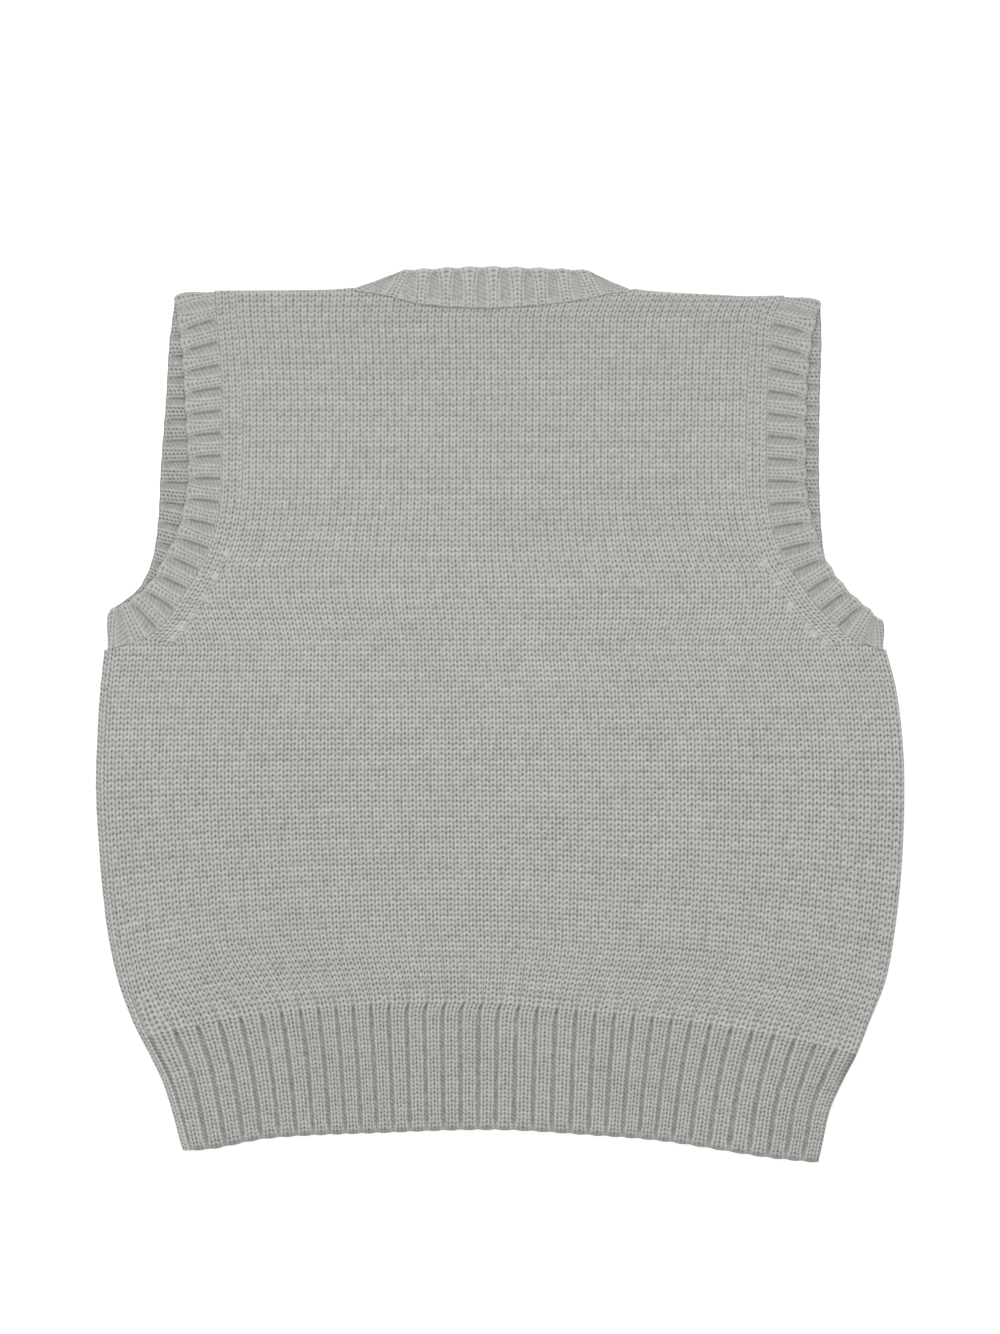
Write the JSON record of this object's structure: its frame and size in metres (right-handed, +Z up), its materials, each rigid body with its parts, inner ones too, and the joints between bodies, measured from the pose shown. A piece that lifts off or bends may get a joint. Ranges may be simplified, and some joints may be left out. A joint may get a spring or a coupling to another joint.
{
  "type": "knitted sweater vest",
  "caption": "Sleeveless knitted vest laid flat with its back up: stockinette panels, a deep ribbed hem, a ribbed neckband and ribbed armhole bands.",
  "frame": {"origin": "centre of the vest's outline on the surface that it lies on", "axes": "+Y towards the neck, +X to the right as seen with the back up, +Z up from the surface"},
  "size_m": [0.525, 0.5814, 0.0086],
  "materials": {
    "stockinette": "matt knitted wool, pale warm grey",
    "rib": "matt ribbed wool, pale warm grey"
  },
  "bodies": {
    "root": {"back_panel": "stockinette", "front_panel": "stockinette", "back_hem_rib": "rib", "front_hem_rib": "rib", "neckband": "rib", "armhole_band_left": "rib", "armhole_band_right": "rib"}
  },
  "joints": []
}
